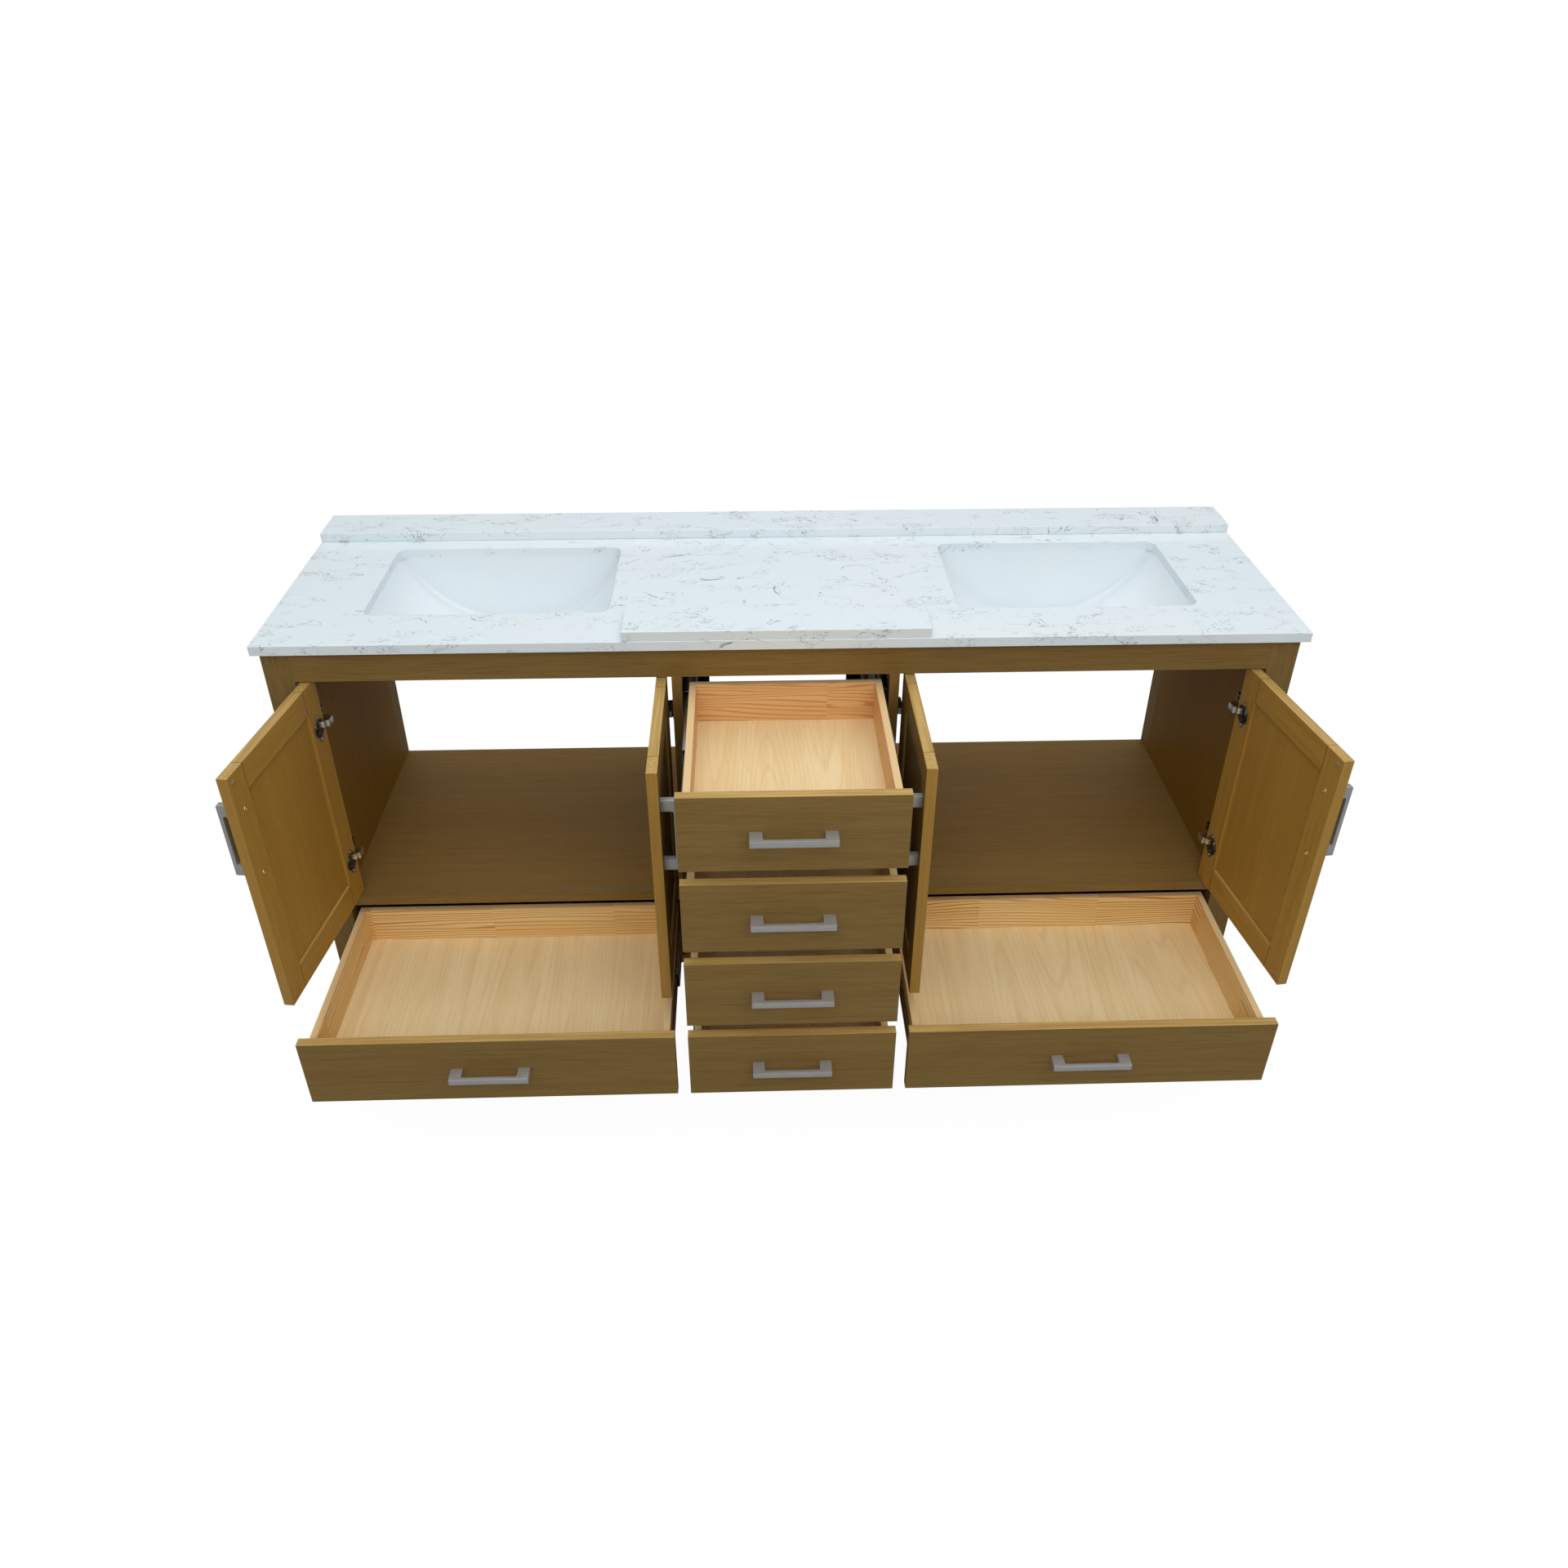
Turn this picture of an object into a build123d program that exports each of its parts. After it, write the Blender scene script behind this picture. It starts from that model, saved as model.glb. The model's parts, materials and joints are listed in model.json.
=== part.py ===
"""Double-bowl bathroom vanity cabinet with four inset doors and six inset drawers.

Millimetres. The origin is on the floor, at the wall, midway between the sides.
+X is to the right seen from the front, +Y points to the wall behind, +Z is up.
The stored pose has every drawer pulled out and every door swung open.
"""

import os

from build123d import *

os.makedirs("parts", exist_ok=True)

# Worktop and its loose splash slabs
TOP_WIDTH = 1854.0
TOP_DEPTH = 559.0
TOP_HEIGHT = 876.0
STONE = 18.0
SPLASH_HEIGHT = 100.0
SIDE_SPLASH_X = (-286.0, 254.0)
SIDE_SPLASH_SETBACK = 1.5
STONE_EDGE = 1.2

# Sinks
SINK_X = 540.0
SINK_WIDTH = 444.0
SINK_LENGTH = 300.0
SINK_FRONT = 118.0
SINK_CORNER = 22.0
BOWL_DEPTH = 140.0
BOWL_WALL = 9.0
BOWL_DRAFT = 12.0
BOWL_FRONT_DRAFT = 60.0
BOWL_FILLET = 14.0
RIM_WIDTH = 25.0
RIM_THICK = 10.0
DRAIN_SEAT_R = 32.0
DRAIN_SEAT_DROP = 2.0
DRAIN_BOSS_R = 40.0
DRAIN_BOSS_DROP = 12.0
DRAIN_HOLE_R = 22.5

# Carcass
CABINET_HALF = 917.0
POST = 50.0
FACE_SETBACK = 15.0
BOARD = 18.0
RAIL_HEIGHT = 22.0
TOP_RAIL_HEIGHT = 60.0
CENTRE_HALF = 186.0
GAP = 2.5
LINER = 15.0
SIDE_PANEL = 12.0
SIDE_PANEL_RECESS = 10.0
FLOOR_BOARD = 16.0
BOTTOM_BOARD = 12.0
BACK_RAIL_HIGH = 100.0
REAR_STILE = 30.0
WOOD_EDGE = 1.0

# Fronts
FRONT_HEIGHT = 142.0
DOOR_ROWS = 3
STILE = 50.0
PANEL = 8.0
PANEL_TONGUE = 8.0
OPENING_CHAMFER = 1.5

# Pulls
PULL_LENGTH = 140.0
PULL_HIGH = 12.0
PULL_OUT = 28.0
PULL_POST = 21.0
PULL_BAR = 7.0
PULL_INNER_R = 3.5
PULL_EDGE = 0.7
DOOR_PULL_DROP = 136.0

# Drawer boxes and their slides
BOX_DROP = 18.0
BOX_HEIGHT = 88.0
BOX_DEPTH = 380.0
BOX_WALL = 12.0
BOX_BOTTOM = 6.0
BOTTOM_RAISE = 6.0
BOTTOM_TONGUE = 5.0
SLIDE_GAP = 13.0
SLIDE_LENGTH = 375.0
SLIDE_START = 4.0
TRAVEL = 380.0
STEEL = 1.5
OUTER_HALF = 22.5
OUTER_LIP = 11.0
MID_HALF = 16.0
MID_FROM = 4.0
MID_TO = 12.0
INNER_HALF = 11.5
INNER_FROM = 7.5

# Hinges, one pivot each
PIVOT_IN = 15.0
PIVOT_BACK = 6.0
HINGE_END = 90.0
CUP_R = 17.5
CUP_FROM_EDGE = 22.5
CUP_DEPTH = 15.5
CUP_SHEET = 0.8
CUP_FLANGE_HIGH = 52.0
CUP_FLANGE_WIDE = 14.0
CUP_NOTCH = 15.0
PIN_R = 1.0
PIN_CLEARANCE = 0.05
EYE_R = 2.2
ARM_WIDE = 12.0
ARM_SHEET = 2.0
LUG_THICK = 1.5
LUG_FROM_ARM = 0.4
LUG_HALF = 2.6
LUG_TOP = 3.0
PLATE_LENGTH = 42.0
PLATE_HIGH = 22.0
PLATE_THICK = 4.0
OUTER_OPEN = 97.5
INNER_OPEN = 90.0

# Levels and planes that follow from the sizes above
TOP_UNDER = TOP_HEIGHT - STONE
FACE = FACE_SETBACK - TOP_DEPTH
FRONT_BACK = FACE + BOARD
INSIDE = CABINET_HALF - POST
BAY_INNER = CENTRE_HALF + BOARD
TOP_RAIL_LOW = TOP_UNDER - TOP_RAIL_HEIGHT
ROW_PITCH = FRONT_HEIGHT + RAIL_HEIGHT + 2 * GAP
ROW_TOPS = [TOP_RAIL_LOW - GAP - row * ROW_PITCH for row in range(DOOR_ROWS + 1)]
RAIL_TOPS = [top - FRONT_HEIGHT - GAP for top in ROW_TOPS]
DOOR_TOP = ROW_TOPS[0]
DOOR_LOW = ROW_TOPS[DOOR_ROWS - 1] - FRONT_HEIGHT
DOOR_WIDTH = (INSIDE - BAY_INNER - 3 * GAP) / 2
FLOOR_TOP = RAIL_TOPS[DOOR_ROWS - 1]
FRAME_LOW = RAIL_TOPS[DOOR_ROWS] - RAIL_HEIGHT
PIVOT_Y = FACE + PIVOT_BACK
HINGE_LEVELS = [DOOR_TOP - HINGE_END, DOOR_LOW + HINGE_END]


def block(x, y, z):
    """A box between two limits along each axis."""
    size = (abs(x[1] - x[0]), abs(y[1] - y[0]), abs(z[1] - z[0]))
    centre = ((x[0] + x[1]) / 2, (y[0] + y[1]) / 2, (z[0] + z[1]) / 2)
    return Pos(*centre) * Box(*size)


def rod(radius, z, x=0.0, y=0.0):
    """A round bar along Z."""
    return Pos(x, y, (z[0] + z[1]) / 2) * Cylinder(radius, abs(z[1] - z[0]))


def eased(shape, radius):
    """Take the sharpness off every edge of a plain board or slab."""
    return fillet(shape.edges(), radius)


def mirrored(shape):
    return mirror(shape, about=Plane.YZ)


def save(name, solids):
    """Write one named piece, or one group of alike pieces."""
    group = Compound(children=[one for part in solids for one in part.solids()])
    group.label = name
    export_step(group, f"parts/{name}.step")


# ---------------------------------------------------------------- stone top


def cut_out(x):
    """The rounded sink opening, taller than the slab."""
    y = SINK_FRONT + SINK_LENGTH / 2 - TOP_DEPTH
    outline = RectangleRounded(SINK_WIDTH, SINK_LENGTH, SINK_CORNER)
    return Pos(x, y, TOP_UNDER - 1) * extrude(outline, STONE + 2)


def countertop():
    slab = block((-TOP_WIDTH / 2, TOP_WIDTH / 2), (-TOP_DEPTH, 0), (TOP_UNDER, TOP_HEIGHT))
    slab = slab - cut_out(-SINK_X) - cut_out(SINK_X)
    upper = slab.faces().sort_by(Axis.Z)[-1]
    return fillet(upper.edges(), STONE_EDGE)


def splashes():
    """Both splash slabs lie flat on the worktop, not yet stood against a wall."""
    level = (TOP_HEIGHT, TOP_HEIGHT + STONE)
    back = block((-TOP_WIDTH / 2, TOP_WIDTH / 2), (-SPLASH_HEIGHT, 0), level)
    front = SIDE_SPLASH_SETBACK - TOP_DEPTH
    side = block(SIDE_SPLASH_X, (front, front + SPLASH_HEIGHT), level)
    return eased(back, STONE_EDGE), eased(side, STONE_EDGE)


# ---------------------------------------------------------------- sinks


def trough(half_width, depth, half_length, edge):
    """A round-bottomed trough, mouth at z = 0, whose front wall slopes more than its back."""
    radius = (half_width**2 + depth**2) / (2 * depth)
    barrel = Pos(0, 0, radius - depth) * Rot(90, 0, 0) * Cylinder(radius, 4 * half_length)
    below = block((-half_width, half_width), (-2 * half_length, 2 * half_length), (-depth - 1, 0))
    low_front = BOWL_FRONT_DRAFT - half_length
    low_back = half_length - BOWL_DRAFT
    ends = Polyline(
        (-half_length, 0), (half_length, 0), (low_back, -depth - 1), (low_front, -depth - 1), close=True
    )
    taper = extrude(Plane.YZ * make_face(ends), 2 * half_width, both=True)
    shape = barrel & below & taper
    rims = [
        one
        for one in shape.edges()
        if one.geom_type != GeomType.LINE and one.bounding_box().size.X > half_width
    ]
    return fillet(rims, edge)


def sink_bowl(x):
    y = SINK_FRONT + SINK_LENGTH / 2 - TOP_DEPTH
    half_width = SINK_WIDTH / 2
    half_length = SINK_LENGTH / 2
    inner = trough(half_width, BOWL_DEPTH, half_length, BOWL_FILLET)
    outer = trough(
        half_width + BOWL_WALL,
        BOWL_DEPTH + BOWL_WALL,
        half_length + BOWL_WALL,
        BOWL_FILLET + BOWL_WALL,
    )
    rim_shape = RectangleRounded(
        SINK_WIDTH + 2 * RIM_WIDTH, SINK_LENGTH + 2 * RIM_WIDTH, SINK_CORNER
    )
    rim = Pos(0, 0, -RIM_THICK) * extrude(rim_shape, RIM_THICK)
    boss = rod(DRAIN_BOSS_R, (-BOWL_DEPTH - DRAIN_BOSS_DROP, -BOWL_DEPTH - 1))
    seat = rod(DRAIN_SEAT_R, (-BOWL_DEPTH - DRAIN_SEAT_DROP, -BOWL_DEPTH + 10))
    hole = rod(DRAIN_HOLE_R, (-BOWL_DEPTH - 2 * DRAIN_BOSS_DROP, 0))
    bowl = outer + rim + boss - inner - seat - hole
    return Pos(x, y, TOP_UNDER) * bowl


# ---------------------------------------------------------------- carcass


def posts(y):
    right = eased(block((INSIDE, CABINET_HALF), y, (0, TOP_UNDER)), WOOD_EDGE)
    return [right, mirrored(right)]


TOP_RAIL = block((-INSIDE, INSIDE), (FACE, FRONT_BACK), (TOP_RAIL_LOW, TOP_UNDER))
BOTTOM_RAIL = block((-INSIDE, INSIDE), (FACE, FRONT_BACK), (FRAME_LOW, FRAME_LOW + RAIL_HEIGHT))
BACK_HIGH = block((-INSIDE, INSIDE), (-BOARD, 0), (TOP_UNDER - BACK_RAIL_HIGH, TOP_UNDER))
BACK_LOW = block((-INSIDE, INSIDE), (-BOARD, 0), (FRAME_LOW, FLOOR_TOP - FLOOR_BOARD))


def face_rails():
    """The bottom rail runs right across; the others fit between the uprights."""
    side_x = (BAY_INNER, INSIDE)
    side = block(side_x, (FACE, FRONT_BACK), (FLOOR_TOP - RAIL_HEIGHT, FLOOR_TOP))
    rails = [BOTTOM_RAIL, side, mirrored(side)]
    for top in RAIL_TOPS[:DOOR_ROWS]:
        centre_x = (-CENTRE_HALF, CENTRE_HALF)
        rails.append(block(centre_x, (FACE, FRONT_BACK), (top - RAIL_HEIGHT, top)))
    return rails


def dividers():
    right = block((CENTRE_HALF, BAY_INNER), (FACE, 0), (FRAME_LOW, TOP_UNDER))
    right = right - TOP_RAIL - BOTTOM_RAIL - BACK_HIGH - BACK_LOW
    return [right, mirrored(right)]


def side_boards(x):
    """A board between the front and rear posts, on both sides of the cabinet."""
    right = block(x, (FACE + POST, -POST), (FRAME_LOW, TOP_UNDER))
    return [right, mirrored(right)]


def compartment_floors():
    level = (FLOOR_TOP - FLOOR_BOARD, FLOOR_TOP)
    right = block((BAY_INNER, INSIDE), (FRONT_BACK, 0), level)
    return [right, mirrored(right)]


def bottom_boards():
    """One board under the lowest drawer of each bay."""
    level = (FRAME_LOW, FRAME_LOW + BOTTOM_BOARD)
    right = block((BAY_INNER, INSIDE), (FRONT_BACK, -BOARD), level)
    centre = block((-CENTRE_HALF, CENTRE_HALF), (FRONT_BACK, -BOARD), level)
    return [right, centre, mirrored(right)]


def back_frame():
    level = (FLOOR_TOP - FLOOR_BOARD, TOP_UNDER - BACK_RAIL_HIGH)
    stile = block((CENTRE_HALF - REAR_STILE, CENTRE_HALF), (-BOARD, 0), level)
    return [BACK_HIGH, BACK_LOW, stile, mirrored(stile)]


# ---------------------------------------------------------------- pulls


def pull():
    """A square bar pull along X that stands out of the plane y = 0 towards -Y."""
    half = PULL_LENGTH / 2
    body = block((-half, half), (-PULL_OUT, 0), (-PULL_HIGH / 2, PULL_HIGH / 2))
    reach = half - PULL_POST
    finger = block((-reach, reach), (PULL_BAR - PULL_OUT, 5), (-PULL_HIGH, PULL_HIGH))
    deep_edges = finger.edges().filter_by(Axis.Z).group_by(Axis.Y)[0]
    body = body - fillet(deep_edges, PULL_INNER_R)
    outer = [one for one in body.edges() if one.center().Y < -PULL_EDGE]
    return fillet(outer, PULL_EDGE)


PULL = pull()
UPRIGHT_PULL = Rot(0, 90, 0) * PULL


# ---------------------------------------------------------------- drawers


def slide_member(along, lip, half, web):
    """A steel channel pair section: x runs from the cabinet side to the drawer side."""
    y = (FRONT_BACK + SLIDE_START, FRONT_BACK + SLIDE_START + SLIDE_LENGTH)
    channel = block(along, y, (-half, half))
    hollow = block(lip, y, (STEEL - half, half - STEEL))
    return channel - hollow if web else channel


def outer_member():
    return slide_member((0, OUTER_LIP), (STEEL, OUTER_LIP), OUTER_HALF, True)


def mid_member():
    return slide_member((MID_FROM, MID_TO), (MID_FROM + STEEL, MID_TO), MID_HALF, True)


def inner_member():
    return slide_member((INNER_FROM, SLIDE_GAP), (INNER_FROM, SLIDE_GAP - STEEL), INNER_HALF, True)


def both_sides(member, bay, level):
    """Place a member on the left wall of a bay and its mirror image on the right wall."""
    left = Pos(bay[0], 0, level) * member
    right = Pos(bay[1], 0, level) * mirrored(member)
    return [left, right]


def slide_level(top):
    return top - BOX_DROP - BOX_HEIGHT / 2


def drawer(name, bay, top):
    """One drawer, shut: front, four-sided box, bottom board, pull and slide members."""
    middle = (bay[0] + bay[1]) / 2
    out = Pos(0, -TRAVEL, 0)
    half_out = Pos(0, -TRAVEL / 2, 0)
    front_x = (bay[0] + GAP, bay[1] - GAP)
    front = eased(block(front_x, (FACE, FRONT_BACK), (top - FRONT_HEIGHT, top)), WOOD_EDGE)
    x = (bay[0] + SLIDE_GAP, bay[1] - SLIDE_GAP)
    y = (FRONT_BACK, FRONT_BACK + BOX_DEPTH)
    z = (top - BOX_DROP - BOX_HEIGHT, top - BOX_DROP)
    inset = BOX_WALL - BOTTOM_TONGUE
    bottom_z = (z[0] + BOTTOM_RAISE, z[0] + BOTTOM_RAISE + BOX_BOTTOM)
    bottom = block((x[0] + inset, x[1] - inset), (y[0] + inset, y[1] - inset), bottom_z)
    walls = [
        block((x[0], x[0] + BOX_WALL), y, z),
        block((x[1] - BOX_WALL, x[1]), y, z),
        block((x[0] + BOX_WALL, x[1] - BOX_WALL), (y[0], y[0] + BOX_WALL), z),
        block((x[0] + BOX_WALL, x[1] - BOX_WALL), (y[1] - BOX_WALL, y[1]), z),
    ]
    grip = Pos(middle, FACE, top - FRONT_HEIGHT / 2) * PULL
    level = slide_level(top)
    hardware = [grip] + both_sides(inner_member(), bay, level)
    save(f"{name}_front", [out * front])
    save(f"{name}_box", [out * (wall - bottom) for wall in walls])
    save(f"{name}_bottom", [out * bottom])
    save(f"{name}_hardware", [out * piece for piece in hardware])
    save(f"{name}_runners", [half_out * piece for piece in both_sides(mid_member(), bay, level)])
    return both_sides(outer_member(), bay, level)


# ---------------------------------------------------------------- doors


def cup_centre():
    """Distance of the hinge cup from the pivot, along the shut door and into the bay."""
    return CUP_FROM_EDGE - (PIVOT_IN - GAP)


def hinge_cup(level):
    """Cup, screw flange, two lugs and the pivot pin, about the pivot at x = y = 0."""
    back = BOARD - PIVOT_BACK
    centre = (-cup_centre(), 0, 0)
    depth_y = (back - CUP_DEPTH, back)
    lying = Rot(-90, 0, 0)
    shell = Pos(centre[0], sum(depth_y) / 2, 0) * lying * Cylinder(CUP_R, CUP_DEPTH)
    hollow = Pos(centre[0], sum(depth_y) / 2 + CUP_SHEET, 0) * lying
    hollow = hollow * Cylinder(CUP_R - CUP_SHEET, CUP_DEPTH)
    flange = Pos(centre[0], back + CUP_SHEET / 2, 0) * lying
    flange = flange * Cylinder(CUP_R + 2, CUP_SHEET)
    ears = Pos(centre[0], back + CUP_SHEET / 2, 0) * Box(CUP_FLANGE_WIDE, CUP_SHEET, CUP_FLANGE_HIGH)
    mouth = Pos(centre[0], back, 0) * lying * Cylinder(CUP_R - CUP_SHEET, 4 * CUP_SHEET)
    notch_x = (-PIVOT_BACK, CUP_R)
    notch = block(notch_x, (-EYE_R, back + 5), (-CUP_NOTCH / 2, CUP_NOTCH / 2))
    cup = shell - hollow + flange + ears - mouth - notch
    lug_in = ARM_WIDE / 2 + LUG_FROM_ARM
    lug_z = (lug_in, lug_in + LUG_THICK)
    lug_y = (back - CUP_DEPTH, LUG_TOP)
    lug = block((-LUG_HALF, LUG_HALF), lug_y, lug_z)
    lugs = lug + mirror(lug, about=Plane.XY)
    pin = rod(PIN_R, (-lug_in - LUG_THICK / 2, lug_in + LUG_THICK / 2))
    return Pos(0, 0, level) * (cup + lugs + pin)


def cup_bore(level):
    back = BOARD - PIVOT_BACK
    bore = Pos(-cup_centre(), back - CUP_DEPTH / 2 + 1, level) * Rot(-90, 0, 0)
    return bore * Cylinder(CUP_R, CUP_DEPTH + 2)


def hinge_arm(level):
    """The fixed arm: an eye on the pin, a swan neck, and a plate on the upright."""
    neck = Polyline((0, 0), (-16, 2), (-20, 20), (PIVOT_IN - PLATE_THICK, 20))
    strip = Plane.XY * offset(neck, ARM_SHEET / 2)
    strip = extrude(make_face(strip.edges()), ARM_WIDE / 2, both=True)
    eye = rod(EYE_R, (-ARM_WIDE / 2, ARM_WIDE / 2))
    hole = rod(PIN_R + PIN_CLEARANCE, (-ARM_WIDE, ARM_WIDE))
    plate_y = (20 - ARM_SHEET / 2, 20 + PLATE_LENGTH)
    plate = block((PIVOT_IN - PLATE_THICK, PIVOT_IN), plate_y, (-PLATE_HIGH / 2, PLATE_HIGH / 2))
    return Pos(0, 0, level) * (strip + eye + plate - hole)


def framed_opening(x, y, z):
    """A door slab with its opening cut out and the opening's rims chamfered."""
    inner_x = (x[0] + STILE, x[1] - STILE)
    inner_z = (z[0] + STILE, z[1] - STILE)
    slab = block(x, y, z) - block(inner_x, (y[0] - 1, y[1] + 1), inner_z)
    rims = [
        one
        for one in slab.edges()
        if inner_x[0] - 1 < one.center().X < inner_x[1] + 1
        and inner_z[0] - 1 < one.center().Z < inner_z[1] + 1
        and (one.center().Y < y[0] + 1 or one.center().Y > y[1] - 1)
    ]
    return chamfer(rims, OPENING_CHAMFER)


def door_pieces():
    """A shut door with its hinges on its right, about its pivot at x = y = 0."""
    hinge_edge = PIVOT_IN - GAP
    x = (hinge_edge - DOOR_WIDTH, hinge_edge)
    y = (-PIVOT_BACK, BOARD - PIVOT_BACK)
    z = (DOOR_LOW, DOOR_TOP)
    tongue = STILE - PANEL_TONGUE
    middle_y = sum(y) / 2
    panel = block(
        (x[0] + tongue, x[1] - tongue),
        (middle_y - PANEL / 2, middle_y + PANEL / 2),
        (z[0] + tongue, z[1] - tongue),
    )
    slab = framed_opening(x, y, z) - panel
    frame = [
        slab & block((x[0], x[0] + STILE), y, z),
        slab & block((x[1] - STILE, x[1]), y, z),
        slab & block((x[0] + STILE, x[1] - STILE), y, (z[0], z[0] + STILE)),
        slab & block((x[0] + STILE, x[1] - STILE), y, (z[1] - STILE, z[1])),
    ]
    for level in HINGE_LEVELS:
        frame[1] = frame[1] - cup_bore(level)
    grip = Pos(x[0] + STILE / 2, -PIVOT_BACK, DOOR_TOP - DOOR_PULL_DROP) * UPRIGHT_PULL
    hardware = [grip] + [hinge_cup(level) for level in HINGE_LEVELS]
    return frame, panel, hardware


FRAME, DOOR_PANEL, DOOR_HARDWARE = door_pieces()


def door(name, pivot_x, hinged_right, opening):
    """Place a door at its pivot, swung open, and return its fixed hinge arms."""
    place = Pos(pivot_x, PIVOT_Y, 0)
    turn = place * Rot(0, 0, opening if hinged_right else -opening)
    frame, panel, hardware = FRAME, [DOOR_PANEL], DOOR_HARDWARE
    arms = [hinge_arm(level) for level in HINGE_LEVELS]
    if not hinged_right:
        frame, panel, hardware, arms = (
            [mirrored(piece) for piece in group] for group in (frame, panel, hardware, arms)
        )
    save(f"{name}_frame", [turn * piece for piece in frame])
    save(f"{name}_panel", [turn * piece for piece in panel])
    save(f"{name}_hardware", [turn * piece for piece in hardware])
    return [place * piece for piece in arms]


# ---------------------------------------------------------------- assembly

back_splash, side_splash = splashes()
save("countertop", [countertop()])
save("backsplash", [back_splash])
save("side_splash", [side_splash])
save("sink_bowl_left", [sink_bowl(-SINK_X)])
save("sink_bowl_right", [sink_bowl(SINK_X)])

save("front_posts", posts((FACE, FACE + POST)))
save("rear_posts", posts((-POST, 0)))
save("top_rail", [TOP_RAIL])
save("face_rails", face_rails())
save("dividers", dividers())
save("side_liners", side_boards((INSIDE, INSIDE + LINER)))
panel_out = CABINET_HALF - SIDE_PANEL_RECESS
save("side_panels", side_boards((panel_out - SIDE_PANEL, panel_out)))
save("compartment_floors", compartment_floors())
save("bottom_boards", bottom_boards())
save("back_frame", back_frame())

slides = []
centre_bay = (-CENTRE_HALF, CENTRE_HALF)
for row, row_top in enumerate(ROW_TOPS):
    slides += drawer(f"centre_drawer_{row + 1}", centre_bay, row_top)
slides += drawer("left_drawer", (-INSIDE, -BAY_INNER), ROW_TOPS[DOOR_ROWS])
slides += drawer("right_drawer", (BAY_INNER, INSIDE), ROW_TOPS[DOOR_ROWS])
save("cabinet_slides", slides)

arms = []
outer_pivot = INSIDE - PIVOT_IN
inner_pivot = BAY_INNER + PIVOT_IN
arms += door("outer_left_door", -outer_pivot, False, OUTER_OPEN)
arms += door("inner_left_door", -inner_pivot, True, INNER_OPEN)
arms += door("inner_right_door", inner_pivot, False, INNER_OPEN)
arms += door("outer_right_door", outer_pivot, True, OUTER_OPEN)
save("hinge_arms", arms)
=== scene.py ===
"""The looks of a double-bowl vanity cabinet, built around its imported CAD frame. Metres."""

import json
import math

import bmesh
import bpy
from mathutils import Matrix, Vector

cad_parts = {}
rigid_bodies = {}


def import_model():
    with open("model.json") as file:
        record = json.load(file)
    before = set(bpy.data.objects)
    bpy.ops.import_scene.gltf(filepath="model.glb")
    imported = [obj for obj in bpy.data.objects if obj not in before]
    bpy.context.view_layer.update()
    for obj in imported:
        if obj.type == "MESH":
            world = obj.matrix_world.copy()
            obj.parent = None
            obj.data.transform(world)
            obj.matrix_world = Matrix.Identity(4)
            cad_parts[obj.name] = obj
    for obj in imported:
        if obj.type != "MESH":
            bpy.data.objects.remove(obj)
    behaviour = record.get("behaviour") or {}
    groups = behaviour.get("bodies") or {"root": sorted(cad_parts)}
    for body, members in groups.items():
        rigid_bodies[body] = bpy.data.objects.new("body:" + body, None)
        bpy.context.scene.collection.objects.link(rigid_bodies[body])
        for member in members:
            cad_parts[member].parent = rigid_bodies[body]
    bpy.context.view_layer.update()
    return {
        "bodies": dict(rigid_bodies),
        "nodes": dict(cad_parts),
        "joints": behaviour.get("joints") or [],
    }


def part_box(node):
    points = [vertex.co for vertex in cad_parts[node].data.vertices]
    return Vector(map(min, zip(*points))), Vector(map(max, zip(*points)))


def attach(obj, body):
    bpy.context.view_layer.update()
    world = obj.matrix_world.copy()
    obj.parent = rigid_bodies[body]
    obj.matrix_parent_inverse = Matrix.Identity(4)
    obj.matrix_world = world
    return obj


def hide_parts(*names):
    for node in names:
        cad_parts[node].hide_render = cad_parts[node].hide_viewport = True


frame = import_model()
NODES = frame["nodes"]
JOINTS = {joint["child"]: joint for joint in frame["joints"]}
DRAWERS = [name for name in frame["bodies"] if name.endswith("drawer") or name[-1].isdigit()]
DOORS = [name for name in frame["bodies"] if name.endswith("door")]
MM = 0.001
SHARP = 0.7  # radians between two faces, from which an edge is a real corner
WELD = 1e-7

# ------------------------------------------------------------------ node graphs


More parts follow.
